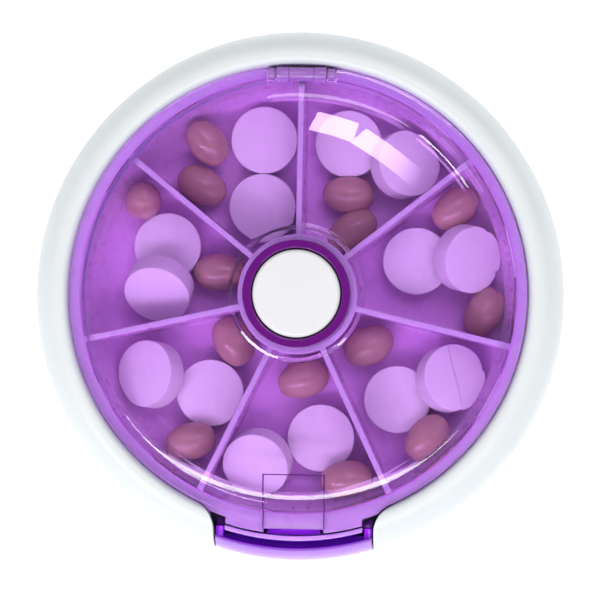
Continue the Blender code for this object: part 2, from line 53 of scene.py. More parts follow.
# Shell
CASE_R = 45.0
SEAM_Z = 12.2
SEAM_GAP = 0.3
FLOOR = 1.6
RING_CREST_R = 40.2
RING_CREST_Z = 20.9
RING_INNER_R = 38.9
NOTCH_HALF = 13.5
FLARE_R = 5.0
FLARE_X = NOTCH_HALF + FLARE_R
FLARE_Y = -math.sqrt((RING_INNER_R + FLARE_R) ** 2 - FLARE_X**2)
BOSS_XY = 17.0

# Tray
COMPARTMENTS = 7
TRAY_FLOOR = (5.9, 7.2)
TRAY_RIM = (17.0, 18.3)
HUB_R = (9.1, 10.2)
HUB_TOP = 19.8
DIVIDER_TOP = 19.75
DIVIDER_HALF = 0.5

# Lid
LID_R = 38.6
LID_THICK = 1.4
LID_RIM_Z = 20.2
RIM_LOW_Z = LID_RIM_Z - LID_THICK
CREST_Z = 24.4
DOME_START_R = 11.8
DOME_START_Z = 24.1
SHOULDER_R = 33.6
SHOULDER_Z = 22.4
TAB_R = 40.2
LIP_R = 41.5
LIP_HALF = 11.6
COLLAR_R = (7.6, 8.8)
COLLAR_LIP_R = 9.0
SKIRT_IN_R = 40.75
SKIRT_LOW_Z = 14.0
LIP_IN_R = 39.6
CATCH_ROOM_BACK = -39.45
CATCH_ROOM_R = 40.5
CATCH_ROOM_HALF = 5.1
TRAY_TAB_R = 39.35
TRAY_SHELF_R = (38.8, 40.45)
TRAY_SHELF_Z = (16.95, 18.0)

# Hinge
PIVOT = (0.0, 37.1, 20.2)
KNUCKLE_R = 1.25
EAR_R = 1.05
COVER_R = (1.0, 1.22)
PIN_HOLE_R = 0.6

# Latch strip
STRIP_IN_R = 42.75
STRIP_HALF = 13.2
STRIP_Z = (12.6, 19.0)
WEB_TOP = 13.7

# Centre button
BUTTON_R = 7.35
BUTTON_TOP = 25.0

# Loose contents
TABLET_R = 5.7
TABLET_THICK = 4.5
SOFTGEL_HALF = (4.4, 3.15)
CLEAR = 0.06

# Tablets that lie flat: x, y
FLAT_TABLETS = (
    (-6.6, 26.55),
    (-6.7, 15.1),
    (7.8, 26.1),
    (19.7, 6.3),
    (16.9, -17.3),
    (4.0, -24.1),
    (-15.0, -16.8),
    (-22.8, 8.1),
)

# Tablets that lean on a flat one: x, y, tilt, the way the upper face looks, and the number of the flat one
LEANING_TABLETS = (
    (17.5, 22.6, 27, 15, 2),
    (28.4, 6.8, 36, -15, 3),
    (25.9, -13.6, 26, 15, 4),
    (-6.6, -28.5, 22, 240, 5),
    (-25.2, -13.8, 32, 172, 6),
    (-23.9, 0.8, 40, 256, 7),
)
SCORED_TABLET = 2

# Softgels: x, y, height of the middle over the tray's floor, heading of the long axis, and its rise
SOFTGELS = (
    (-16.4, 26.0, 4.4, -50, -8),
    (-17.2, 18.6, 3.3, -28, 0),
    (7.9, 17.5, 3.4, 0, 0),
    (8.8, 11.5, 3.3, 36, 0),
    (26.2, 15.4, 3.6, 42, 0),
    (31.4, -2.2, 3.9, 62, 0),
    (11.9, -8.3, 3.3, 30, 0),
    (22.1, -23.7, 5.6, 50, 0),
    (0.8, -14.2, 3.3, 16, 0),
    (8.6, -31.0, 6.2, 8, 0),
    (-11.4, -8.0, 3.3, -60, 0),
    (-18.1, -25.1, 5.2, 16, 0),
    (-27.2, 15.8, 4.8, 0, 84),
    (-13.9, 3.9, 3.3, 5, 0),
)

# Colours of the tray's body, a painted fill light that lightens its floor low down, a painted glow on its
# level edges, and its hinge ears
TRAY_DARK = (0.655, 0.38, 0.69)
TRAY_LIGHT = (0.68, 0.40, 0.72)
EAR_VIOLET = (0.34, 0.14, 0.52)
TRAY_LOW_FILL_LIGHT = (0.77, 0.45, 0.83)
TRAY_EDGE_GLOW = (0.57, 0.48, 0.63)


# Outlines


def arc(centre, radii, start, end, count):
    """Points on an ellipse's arc, with angles in degrees."""
    points = []
    for i in range(count + 1):
        angle = math.radians(start + (end - start) * i / count)
        points.append((centre[0] + radii[0] * math.cos(angle), centre[1] + radii[1] * math.sin(angle)))
    return points


def front_arc(radius, half_width, count=24):
    """An arc about the case's axis across the front, from left to right."""
    swing = math.degrees(math.asin(half_width / radius))
    return arc((0, 0), (radius, radius), 270 - swing, 270 + swing, count)


def front_band(inner_r, outer_r, half_width, count=24):
    """The outline of a curved band across the front."""
    return front_arc(outer_r, half_width, count) + front_arc(inner_r, half_width, count)[::-1]


def mirrored(points):
    """The same points on the other side, in reverse order, so that an outline can go on with them."""
    return [(-x, y) for x, y in reversed(points)]


def eased(corners, count=4):
    """A closed outline with its corners (x, y, setback) rounded off. One without a setback stays sharp."""
    points = []
    for i, corner in enumerate(corners):
        here = Vector(corner[:2])
        if len(corner) < 3 or corner[2] == 0:
            points.append(tuple(here))
            continue
        before = Vector(corners[i - 1][:2])
        after = Vector(corners[(i + 1) % len(corners)][:2])
        start = here + (before - here).normalized() * corner[2]
        end = here + (after - here).normalized() * corner[2]
        for step in range(count + 1):
            t = step / count
            points.append(tuple(start * (1 - t) ** 2 + here * 2 * t * (1 - t) + end * t**2))
    return points


# Meshes


def finish_mesh(name, shape, material=None, angle=32):
    """Turns a bmesh in millimetres into an object in metres with its faces pointing out."""
    bmesh.ops.recalc_face_normals(shape, faces=shape.faces)
    bmesh.ops.scale(shape, vec=(MM, MM, MM), verts=shape.verts)
    mesh = bpy.data.meshes.new(name)
    shape.to_mesh(mesh)
    shape.free()
    piece = bpy.data.objects.new(name, mesh)
    bpy.context.scene.collection.objects.link(piece)
    if material:
        mesh.materials.append(material)
    mesh.shade_smooth()
    mesh.set_sharp_from_angle(angle=math.radians(angle))
    return piece


def turned(name, outline, material=None, steps=STEPS, angle=32):
    """A solid turned about Z from a closed outline of (radius, height)."""
    shape = bmesh.new()
    rings = []
    for radius, height in outline:
        if radius == 0:
            rings.append([shape.verts.new((0, 0, height))] * steps)
            continue
        ring = []
        for i in range(steps):
            turn = 2 * math.pi * i / steps
            ring.append(shape.verts.new((radius * math.cos(turn), radius * math.sin(turn), height)))
        rings.append(ring)
    for lower, upper in zip(rings, rings[1:] + rings[:1]):
        for i in range(steps):
            j = (i + 1) % steps
            corners = list(dict.fromkeys((lower[i], lower[j], upper[j], upper[i])))
            if len(corners) > 2:
                shape.faces.new(corners)
    return finish_mesh(name, shape, material, angle)


def add_prism(shape, outline, low, high, axis="Z", matrix=None):
    """Adds a flat outline pushed along an axis. Along X the outline holds (y, z), along Y it holds (x, z)."""
    matrix = matrix or Matrix.Identity(4)
    ends = []
    for level in (low, high):
        if axis == "Z":
            places = [(a, b, level) for a, b in outline]
        elif axis == "Y":
            places = [(a, level, b) for a, b in outline]
        else:
            places = [(level, a, b) for a, b in outline]
        ends.append([shape.verts.new(matrix @ Vector(place)) for place in places])
    shape.faces.new(ends[0])
    shape.faces.new(ends[1])
    for i in range(len(outline)):
        j = (i + 1) % len(outline)
        shape.faces.new((ends[0][i], ends[0][j], ends[1][j], ends[1][i]))


def prism(name, outline, low, high, axis="Z", material=None):
    shape = bmesh.new()
    add_prism(shape, outline, low, high, axis)
    return finish_mesh(name, shape, material)


def block(name, x, y, z):
    """A plain box, from its low and high along each axis."""
    corners = [(x[0], y[0]), (x[1], y[0]), (x[1], y[1]), (x[0], y[1])]
    return prism(name, corners, z[0], z[1])


def rod(name, radius, start, end, sides=40):
    """A round bar between two points."""
    start = Vector(start)
    end = Vector(end)
    shape = bmesh.new()
    turn = (end - start).to_track_quat("Z", "Y").to_matrix().to_4x4()
    bmesh.ops.create_cone(
        shape,
        cap_ends=True,
        segments=sides,
        radius1=radius,
        radius2=radius,
        depth=(end - start).length,
        matrix=Matrix.Translation((start + end) / 2) @ turn,
    )
    return finish_mesh(name, shape)


def combine(target, operation, *others):
    """Joins other solids to the target, cuts them out of it or keeps what they share, and removes them."""
    for other in others:
        modifier = target.modifiers.new(other.name, "BOOLEAN")
        modifier.operation = operation
        modifier.solver = "EXACT"
        modifier.object = other
    settle(target)
    for other in others:
        bpy.data.objects.remove(other, do_unlink=True)


def settle(piece):
    """Turns a piece's modifiers into its mesh."""
    graph = bpy.context.evaluated_depsgraph_get()
    mesh = bpy.data.meshes.new_from_object(piece.evaluated_get(graph))
    piece.modifiers.clear()
    piece.data = mesh


def polish(piece, width, angle=32, segments=2, clamped=False):
    """Breaks a piece's sharp edges with a small round, and shades it smooth."""
    shape = bmesh.new()
    shape.from_mesh(piece.data)
    bmesh.ops.dissolve_degenerate(shape, dist=2e-6, edges=shape.edges)
    shape.to_mesh(piece.data)
    shape.free()
    piece.data.shade_smooth()
    piece.data.set_sharp_from_angle(angle=math.radians(angle))
    if width:
        bevel = piece.modifiers.new("edge", "BEVEL")
        bevel.width = width * MM
        bevel.segments = segments
        bevel.limit_method = "ANGLE"
        bevel.angle_limit = math.radians(angle)
        bevel.use_clamp_overlap = clamped
        bevel.miter_outer = "MITER_ARC"
        settle(piece)
        piece.data.shade_smooth()
        piece.data.set_sharp_from_angle(angle=math.radians(angle))


def stand_for(piece, body, slot, *nodes):
    """Puts a piece on a body, in the place of CAD nodes, which it hides. Its slot is not used."""
    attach(piece, body)
    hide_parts(*nodes)


# Materials


def new_material(name):
    material = bpy.data.materials.new(name)
    material.use_nodes = True
    tree = material.node_tree
    return material, tree, tree.nodes["Principled BSDF"]


def noise(tree, scale, detail=3.0, stretch=(1, 1, 1)):
    """Noise in the object's own coordinates, with scale in features per metre."""
    coordinates = tree.nodes.new("ShaderNodeTexCoord")
    mapping = tree.nodes.new("ShaderNodeMapping")
    mapping.inputs["Scale"].default_value = stretch
    texture = tree.nodes.new("ShaderNodeTexNoise")
    texture.inputs["Scale"].default_value = scale
    texture.inputs["Detail"].default_value = detail
    tree.links.new(coordinates.outputs["Object"], mapping.inputs["Vector"])
    tree.links.new(mapping.outputs["Vector"], texture.inputs["Vector"])
    return texture.outputs["Fac"]


def ranged(tree, value, low, high, start=0.3, end=0.7):
    """Maps start..end of a value to low..high, and holds it there outside."""
    node = tree.nodes.new("ShaderNodeMapRange")
    node.inputs["From Min"].default_value = start
    node.inputs["From Max"].default_value = end
    node.inputs["To Min"].default_value = low
    node.inputs["To Max"].default_value = high
    tree.links.new(value, node.inputs["Value"])
    return node.outputs["Result"]


def mixed(tree, factor, first, second):
    """A colour between two others, each a tuple or a socket."""
    node = tree.nodes.new("ShaderNodeMix")
    node.data_type = "RGBA"
    tree.links.new(factor, node.inputs["Factor"])
    for socket, colour in ((node.inputs[6], first), (node.inputs[7], second)):
        if isinstance(colour, tuple):
            socket.default_value = (*colour, 1.0)
        else:
            tree.links.new(colour, socket)
    return node.outputs[2]


def height_of(tree, low, high):
    """A factor from 0 at the first height to 1 at the second, in millimetres, and falling if swapped."""
    coordinates = tree.nodes.new("ShaderNodeTexCoord")
    parts = tree.nodes.new("ShaderNodeSeparateXYZ")
    tree.links.new(coordinates.outputs["Object"], parts.inputs["Vector"])
    return ranged(tree, parts.outputs["Z"], 0.0, 1.0, low * MM, high * MM)


def bumped(tree, shader, height, distance):
    """Lets a height pattern tilt the surface, by a distance in millimetres."""
    node = tree.nodes.new("ShaderNodeBump")
    node.inputs["Strength"].default_value = 1.0
    node.inputs["Distance"].default_value = distance * MM
    tree.links.new(height, node.inputs["Height"])
    tree.links.new(node.outputs["Normal"], shader.inputs["Normal"])


def moulded(name, light, dark, roughness, grain=0.004):
    """Moulded plastic: cloudy colour, uneven gloss and a very fine grain."""
    material, tree, shader = new_material(name)
    cloud = noise(tree, 90, 4)
    tree.links.new(mixed(tree, ranged(tree, cloud, 0, 1), dark, light), shader.inputs["Base Color"])
    smear = noise(tree, 420, 5)
    tree.links.new(ranged(tree, smear, roughness[0], roughness[1]), shader.inputs["Roughness"])
    bumped(tree, shader, noise(tree, 5200, 2), grain)
    return material


def facing_up(tree, start, end):
    """A factor that rises from 0 to 1 as a face turns from upright to level."""
    coordinates = tree.nodes.new("ShaderNodeTexCoord")
    parts = tree.nodes.new("ShaderNodeSeparateXYZ")
    tree.links.new(coordinates.outputs["Normal"], parts.inputs["Vector"])
    return ranged(tree, parts.outputs["Z"], 0.0, 1.0, start, end)


def measured(tree, ask):
    """In metres: the distance from the case's axis ("radius"), or how far to the front ("front")."""
    coordinates = tree.nodes.new("ShaderNodeTexCoord")
    parts = tree.nodes.new("ShaderNodeSeparateXYZ")
    tree.links.new(coordinates.outputs["Object"], parts.inputs["Vector"])
    if ask == "front":
        node = tree.nodes.new("ShaderNodeMath")
        node.operation = "MULTIPLY"
        node.inputs[1].default_value = -1.0
        tree.links.new(parts.outputs["Y"], node.inputs[0])
        return node.outputs[0]
    flat = tree.nodes.new("ShaderNodeCombineXYZ")
    tree.links.new(parts.outputs["X"], flat.inputs["X"])
    tree.links.new(parts.outputs["Y"], flat.inputs["Y"])
    node = tree.nodes.new("ShaderNodeVectorMath")
    node.operation = "LENGTH"
    tree.links.new(flat.outputs["Vector"], node.inputs[0])
    return node.outputs["Value"]


def beyond(tree, value, start, end):
    """A factor from 0 at start to 1 at end, in millimetres. The value itself is in metres."""
    return ranged(tree, value, 0.0, 1.0, start * MM, end * MM)


def joined(tree, operation, *factors):
    """One factor from several, by a Math operation such as MULTIPLY."""
    total = factors[0]
    for factor in factors[1:]:
        node = tree.nodes.new("ShaderNodeMath")
        node.operation = operation
        tree.links.new(total, node.inputs[0])
        tree.links.new(factor, node.inputs[1])
        total = node.outputs[0]
    return total


def tray_plastic():
    """Violet plastic with painted light: a painted glow makes its level upper edges paler, for light leaving
    the thin walls there, and a painted fill light makes it lighter low down.
    """
    material, tree, shader = new_material("violet_tray")
    cloud = ranged(tree, noise(tree, 110, 4), 0, 1)
    # painted fill light: below 12.5 mm the body colour fades to a lighter one, offsetting the shade down in
    # the compartments
    body = mixed(tree, height_of(tree, 12.5, 8.5), mixed(tree, cloud, TRAY_DARK, TRAY_LIGHT), TRAY_LOW_FILL_LIGHT)
    radius = measured(tree, "radius")
    inside = beyond(tree, radius, 36.45, 36.35)
    rim = beyond(tree, radius, 38.42, 38.34)
    in_notch = beyond(tree, measured(tree, "front"), 33.0, 33.4)
    past_round = beyond(tree, radius, 37.0, 37.15)
    outside = joined(tree, "MULTIPLY", past_round, joined(tree, "MAXIMUM", rim, in_notch))
    paler = joined(tree, "MAXIMUM", inside, outside)
    under_ears = height_of(tree, 20.1, 19.95)
    level = facing_up(tree, 0.55, 0.85)
    # painted glow: level faces at the top of the bowl, hub, dividers, rim and tab take the paler edge colour
    edges = joined(tree, "MULTIPLY", height_of(tree, 17.7, 17.95), under_ears, level, paler)
    pale = mixed(tree, edges, body, TRAY_EDGE_GLOW)
    ears = height_of(tree, 19.95, 20.1)
    tree.links.new(mixed(tree, ears, pale, EAR_VIOLET), shader.inputs["Base Color"])
    tree.links.new(ranged(tree, noise(tree, 500, 4), 0.24, 0.36), shader.inputs["Roughness"])
    bumped(tree, shader, noise(tree, 3600, 2), 0.004)
    return material


def shell_plastic():
    """White plastic, with painted shade: its slopes take a greyer, cooler colour than its level tops."""
    material, tree, shader = new_material("white_shell")
    cloud = ranged(tree, noise(tree, 90, 4), 0, 1)
    top = mixed(tree, cloud, (0.755, 0.785, 0.805), (0.775, 0.805, 0.82))
    # painted shade: the slope colour is greyer than the top colour, and faces take it as they turn upright
    slope = mixed(tree, cloud, (0.68, 0.72, 0.745), (0.70, 0.74, 0.765))
    tree.links.new(mixed(tree, facing_up(tree, 0.45, 0.98), slope, top), shader.inputs["Base Color"])
    tree.links.new(ranged(tree, noise(tree, 420, 5), 0.32, 0.44), shader.inputs["Roughness"])
    bumped(tree, shader, noise(tree, 5200, 2), 0.004)
    return material


def strip_plastic():
    """Tinted plastic: pale on the strip's outside, with painted shade in the gap behind it, where everything
    nearer the axis is coloured deep violet.
    """
    material, tree, shader = new_material("violet_latch")
    cloud = ranged(tree, noise(tree, 140, 4), 0, 1)
    pale = mixed(tree, cloud, (0.38, 0.15, 0.74), (0.43, 0.18, 0.80))
    # painted shade: inward of 42.8 mm from the axis the colour turns deep violet
    on_strip = beyond(tree, measured(tree, "radius"), 42.8, 42.9)
    tree.links.new(mixed(tree, on_strip, (0.40, 0.01, 0.95), pale), shader.inputs["Base Color"])
    tree.links.new(ranged(tree, noise(tree, 420, 4), 0.10, 0.2), shader.inputs["Roughness"])
    bumped(tree, shader, noise(tree, 3000, 2), 0.003)
    return material


def clear_plastic(name, colour, density):
    """Polished clear plastic, tinted by its depth. Light from lamps passes straight through its faces."""
    material, tree, shader = new_material(name)
    cloud = noise(tree, 60, 3)
    tint = mixed(tree, ranged(tree, cloud, 0, 1), (0.98, 0.96, 1.0), (1.0, 0.99, 1.0))
    tree.links.new(tint, shader.inputs["Base Color"])
    shader.inputs["Transmission Weight"].default_value = 1.0
    shader.inputs["IOR"].default_value = 1.49
    hairlines = noise(tree, 260, 6, (1.0, 14.0, 1.0))
    tree.links.new(ranged(tree, hairlines, 0.0, 0.006, 0.6, 0.85), shader.inputs["Roughness"])
    depth = tree.nodes.new("ShaderNodeVolumeAbsorption")
    depth.inputs["Color"].default_value = (*colour, 1.0)
    depth.inputs["Density"].default_value = density
    tree.links.new(depth.outputs["Volume"], tree.nodes["Material Output"].inputs["Volume"])
    passing = tree.nodes.new("ShaderNodeBsdfTransparent")
    passing.inputs["Color"].default_value = (0.96, 0.96, 0.96, 1.0)
    path = tree.nodes.new("ShaderNodeLightPath")
    mix = tree.nodes.new("ShaderNodeMixShader")
    tree.links.new(path.outputs["Is Shadow Ray"], mix.inputs["Fac"])
    tree.links.new(shader.outputs["BSDF"], mix.inputs[1])
    tree.links.new(passing.outputs["BSDF"], mix.inputs[2])
    tree.links.new(mix.outputs["Shader"], tree.nodes["Material Output"].inputs["Surface"])
    return material


def chalk():
    """Pressed powder: off-white, dull, with faint specks and a fine tooth."""
    material, tree, shader = new_material("pressed_powder")
    cloud = ranged(tree, noise(tree, 700, 5), 0, 1)
    pale = mixed(tree, cloud, (0.71, 0.70, 0.70), (0.75, 0.74, 0.74))
    specks = ranged(tree, noise(tree, 2600, 2), 0, 0.35, 0.66, 0.75)
    tree.links.new(mixed(tree, specks, pale, (0.58, 0.56, 0.54)), shader.inputs["Base Color"])
    tree.links.new(ranged(tree, noise(tree, 1800, 3), 0.55, 0.75), shader.inputs["Roughness"])
    bumped(tree, shader, noise(tree, 3800, 4), 0.02)
    return material


def gelatin():
    """A soft shell filled with oil: amber brown and glossy, with a painted paler rim, by the angle of view,
    that stands for light coming through.
    """
    material, tree, shader = new_material("gelatin")
    cloud = ranged(tree, noise(tree, 260, 3), 0, 1)
    amber = mixed(tree, cloud, (0.38, 0.25, 0.20), (0.45, 0.31, 0.24))
    # painted light: faces seen edge-on take a paler colour, as if lit from behind
    rim = tree.nodes.new("ShaderNodeLayerWeight")
    rim.inputs["Blend"].default_value = 0.3
    through = mixed(tree, rim.outputs["Facing"], amber, (0.52, 0.27, 0.30))
    tree.links.new(through, shader.inputs["Base Color"])
    tree.links.new(ranged(tree, noise(tree, 600, 3), 0.14, 0.24), shader.inputs["Roughness"])
    shader.inputs["Subsurface Weight"].default_value = 0.3
    shader.inputs["Subsurface Radius"].default_value = (1.0, 0.45, 0.25)
    shader.inputs["Subsurface Scale"].default_value = 1.2 * MM
    shader.inputs["IOR"].default_value = 1.45
    bumped(tree, shader, noise(tree, 900, 2), 0.01)
    return material


def drawn_steel():
    """Bright drawn wire, with streaks in its colour and gloss."""
    material, tree, shader = new_material("spring_steel")
    streaks = noise(tree, 900, 4, (1.0, 1.0, 6.0))
    colour = mixed(tree, ranged(tree, streaks, 0, 1), (0.50, 0.50, 0.52), (0.68, 0.68, 0.70))
    tree.links.new(colour, shader.inputs["Base Color"])
    tree.links.new(ranged(tree, noise(tree, 2400, 3), 0.18, 0.34), shader.inputs["Roughness"])
    shader.inputs["Metallic"].default_value = 1.0
    bumped(tree, shader, streaks, 0.006)
    return material


# Shell


def base_half(material):
    tongue = (43.2, 43.9)
    corner_r = 36.5
    inner_corner_r = 36.3
    outline = [(0, 0), (30, 0)]
    outline += arc((corner_r, SEAM_Z), (CASE_R - corner_r, SEAM_Z), -90, 0, 22)
    outline += [(CASE_R - 0.12, SEAM_Z + 0.02), (tongue[1], SEAM_Z)]
    outline += [(tongue[1], SEAM_Z + 1), (tongue[0], SEAM_Z + 1)]
    outline += arc((inner_corner_r, SEAM_Z), (tongue[0] - inner_corner_r, SEAM_Z - FLOOR), 0, -90, 14)
    outline += [(0, FLOOR)]
    shell = turned("shell_base", outline, material)
    notch = block("base_notch", (-13.9, 13.9), (-50, -30), (SEAM_Z + 0.05, 20))
    combine(shell, "DIFFERENCE", notch)
    for side in (-1, 1):
        rail = sorted((side * 4.3, side * 5.3))
        rest = sorted((side * 5.6, side * 9.6))
        combine(
            shell,
            "UNION",
            block(f"rail{side}", rail, (-33, -8), (1.3, 5.0)),
            block(f"rest{side}", rest, (-36.0, -35.0), (1.3, 8.2)),
        )
    for sx in (-1, 1):
        for sy in (-1, 1):
            x = sx * BOSS_XY
            y = sy * BOSS_XY
            combine(shell, "UNION", rod("boss", 3.5, (x, y, 1.3), (x, y, 3.4)))
            combine(
                shell,
                "DIFFERENCE",
                rod("hole", 1.4, (x, y, -1), (x, y, 4)),
                rod("sink", 2.6, (x, y, -1), (x, y, 1.8)),
            )
    polish(shell, 0.15)
    stand_for(shell, "case", "white_shell", "base_shell")


def notch_outline(half_width, flare_r, low_r, high_r):
    """The front notch seen from above: straight flanks that flare out towards the case's axis."""
    toward_axis = math.degrees(math.atan2(-FLARE_Y, -FLARE_X))
    right = arc((FLARE_X, FLARE_Y), (flare_r, flare_r), toward_axis, 180, 18)
    scale = low_r / math.hypot(*right[0])
    start = (right[0][0] * scale, right[0][1] * scale)
    right = [start, *right, (half_width, -high_r)]
    return right + mirrored(right)


def ring_half(material):
    seam = SEAM_Z + SEAM_GAP
    lap_z = seam + 1
    wall_r = 40.0
    edge = RING_CREST_R - RING_INNER_R
    outline = [(CASE_R - 0.12, seam - 0.02)]
    outline += arc((RING_CREST_R, seam), (CASE_R - RING_CREST_R, RING_CREST_Z - seam), 0, 90, 26)
    outline += arc((RING_CREST_R, RING_CREST_Z - edge), (edge, edge), 90, 180, 10)[1:]
    outline += eased([(RING_INNER_R, 16.7), (37.7, 16.7, 0.2), (37.7, 15.3, 0.2), (wall_r, 15.3)], 2)
    outline += arc((wall_r, lap_z), (43.1 - wall_r, 18.9 - lap_z), 90, 0, 10)
    outline += [(44.2, lap_z), (44.2, seam)]
    ring = turned("shell_ring", outline, material)
    notch = prism("ring_notch", notch_outline(NOTCH_HALF, FLARE_R, 36.8, 47), 11, 23)
    combine(ring, "DIFFERENCE", notch)
    polish(ring, 0.2, 40, 3, True)
    stand_for(ring, "case", "white_shell", "bezel_ring")


# Tray


def tray_section():
    """Floor, bowl-shaped wall with a rounded rim, and the hub with its raised floor."""
    inner_corner = (31.0, TRAY_RIM[0] + 0.2)
    outer_corner = (31.5, TRAY_RIM[0] - 0.1)
    rim_low, rim_high = TRAY_RIM
    outline = arc((HUB_R[1] + 0.6, TRAY_FLOOR[1] + 0.6), (0.6, 0.6), 180, 270, 4)
    outline += arc(inner_corner, (5.4, inner_corner[1] - TRAY_FLOOR[1]), -90, 0, 20)
    outline += arc((37.3, rim_high - 0.9), (0.9, 0.9), 180, 90, 8)
    rim = [(LID_R - 0.6, rim_high), (LID_R, rim_high, 0.5), (LID_R, rim_low, 0.2), (37.4, rim_low)]
    outline += eased(rim, 3)
    outline += arc(outer_corner, (5.9, outer_corner[1] - TRAY_FLOOR[0]), 0, -90, 16)
    outline += [(8.9, TRAY_FLOOR[0]), (8.9, 9.0), (2.75, 9.0), (2.75, 10.3), (HUB_R[0], 10.3)]
    outline += arc((HUB_R[0] + 0.15, HUB_TOP - 0.15), (0.15, 0.15), 180, 90, 3)
    outline += arc((HUB_R[1] - 0.15, HUB_TOP - 0.15), (0.15, 0.15), 90, 0, 3)
    return outline


def divider_section():
    """Across a divider: a top with eased corners, upright faces and a small fillet at the floor."""
    fillet = 0.55
    ease = 0.2
    floor = TRAY_FLOOR[1]
    right = [(0, DIVIDER_TOP), *arc((DIVIDER_HALF - ease, DIVIDER_TOP - ease), (ease, ease), 90, 0, 4)]
    right += arc((DIVIDER_HALF + fillet, floor + fillet), (fillet, fillet), 180, 270, 5)
    right += [(DIVIDER_HALF + fillet, floor - 0.6)]
    return right + [(-x, z) for x, z in reversed(right)][:-1]


def divider_reach():
    """The turned space that the dividers fill, up to the middle of the bowl's wall."""
    sunk = (TRAY_FLOOR[0] + TRAY_FLOOR[1]) / 2
    outline = [(9.65, sunk)]
    outline += arc((31.25, TRAY_RIM[0]), (5.65, TRAY_RIM[0] - sunk), -90, 0, 16)
    outline += [(36.6, 17.95), (36.3, 18.35), (35.7, 18.95), (35.1, 19.4), (34.3, 19.68)]
    return outline + [(33.4, 19.8), (9.65, 19.8)]


def pin_hole():
    """A cutter for the hinge pin's hole."""
    return rod("pin_hole", PIN_HOLE_R, (-7, PIVOT[1], PIVOT[2]), (7, PIVOT[1], PIVOT[2]))


def pill_tray(material):
    tray = turned("tray", tray_section(), material)
    shape = bmesh.new()
    for number in range(COMPARTMENTS):
        turn = Matrix.Rotation(2 * math.pi * number / COMPARTMENTS, 4, "Z")
        add_prism(shape, divider_section(), 9.6, 38.0, "Y", turn)
    walls = finish_mesh("dividers", shape)
    combine(walls, "INTERSECT", turned("divider_reach", divider_reach()))
    combine(tray, "UNION", walls)
    for sx in (-1, 1):
        for sy in (-1, 1):
            x = sx * BOSS_XY
            y = sy * BOSS_XY
            combine(tray, "UNION", rod("boss", 2.6, (x, y, 3.7), (x, y, 6.3)))
            combine(tray, "DIFFERENCE", rod("boss_hole", 1.25, (x, y, 3), (x, y, 6.5)))
    for side in (-1, 1):
        low, high = sorted((side * 4.5, side * 5.7))
        combine(
            tray,
            "UNION",
            block("ear", (low, high), (36.6, 38.1), (17.6, PIVOT[2])),
            rod("ear_round", EAR_R, (low + 0.02, PIVOT[1], PIVOT[2]), (high - 0.02, PIVOT[1], PIVOT[2])),
        )
    combine(tray, "DIFFERENCE", pin_hole())
    tab = prism("tray_tab", tab_outline(TRAY_TAB_R), TRAY_RIM[0] + 0.02, TRAY_RIM[1] - 0.02)
    combine(tab, "DIFFERENCE", turned("tray_tab_hollow", [(0, 16), (37.0, 16), (37.0, 20), (0, 20)]))
    shelf = prism("tray_shelf", front_band(*TRAY_SHELF_R, LIP_HALF - 0.1), *TRAY_SHELF_Z)
    combine(shelf, "DIFFERENCE", catch_room("tray_catch_room"))
    combine(tray, "UNION", tab)
    combine(tray, "UNION", shelf)
    for angle in (12, 192):
        x = 7.0 * math.cos(math.radians(angle))
        y = 7.0 * math.sin(math.radians(angle))
        combine(tray, "DIFFERENCE", rod("guide_hole", 1.05, (x, y, 8), (x, y, 11)))
    polish(tray, 0.0)
    stand_for(tray, "case", "violet_tray", "pill_tray")


# Lid


def dome(start, end, crest_z, end_z, count):
    """Points on the dome between two radii: its height falls with the square of the radius."""
    points = []
    for i in range(count + 1):
        radius = start + (end - start) * i / count
        fall = ((radius - start) / (end - start)) ** 2
        points.append((radius, crest_z - (crest_z - end_z) * fall))
    return points


def shoulder(start, level, slant, radii, count):
    """From the end of the dome over a gentle slant, then steeply down an ellipse to a level."""
    points = []
    for i in range(count + 1):
        along = slant * i / count
        points.append((start[0] + along, start[1] - 0.26 * along - 0.0286 * along**2))
    centre = points[-1][0] - radii[0] / 3
    return points + arc((centre, level), radii, 66, 5, 12)


def lid_top():
    """The upper surface: a flat plate round the hole, a soft step down, a low dome and the shoulder."""
    points = [(10.6, CREST_Z), (10.78, CREST_Z - 0.015)]
    for i in range(6):
        along = 0.11 * i
        points.append((10.9 + along, CREST_Z - 0.05 - 0.412 * along))
    points += dome(DOME_START_R, SHOULDER_R, DOME_START_Z, SHOULDER_Z, 20)
    return points + shoulder((SHOULDER_R + 0.3, SHOULDER_Z - 0.07), LID_RIM_Z, 1.4, (1.9, 1.8), 6)


def lid_under():
    """The lower surface, which runs level with the upper one, from the hole to the foot of the shoulder."""
    points = [(10.4, CREST_Z - LID_THICK), (11.1, CREST_Z - LID_THICK - 0.15)]
    points += dome(DOME_START_R, 33.2, DOME_START_Z - LID_THICK, SHOULDER_Z - LID_THICK + 0.06, 20)
    return points + shoulder((33.4, SHOULDER_Z - LID_THICK), RIM_LOW_Z, 1.4, (1.8, 1.83), 6)


def lid_section():
    """Across the clear cover: its hole, upper surface, rim and lower surface."""
    hole = COLLAR_LIP_R + 0.04
    outline = eased([(hole, CREST_Z - LID_THICK), (hole, CREST_Z, 0.08), (9.3, CREST_Z)], 3)
    outline += lid_top()
    rim = [(36.75, LID_RIM_Z), (LID_R, LID_RIM_Z, 0.4), (LID_R, RIM_LOW_Z, 0.2), (36.2, RIM_LOW_Z)]
    outline += eased(rim, 3)
    return outline + lid_under()[::-1]


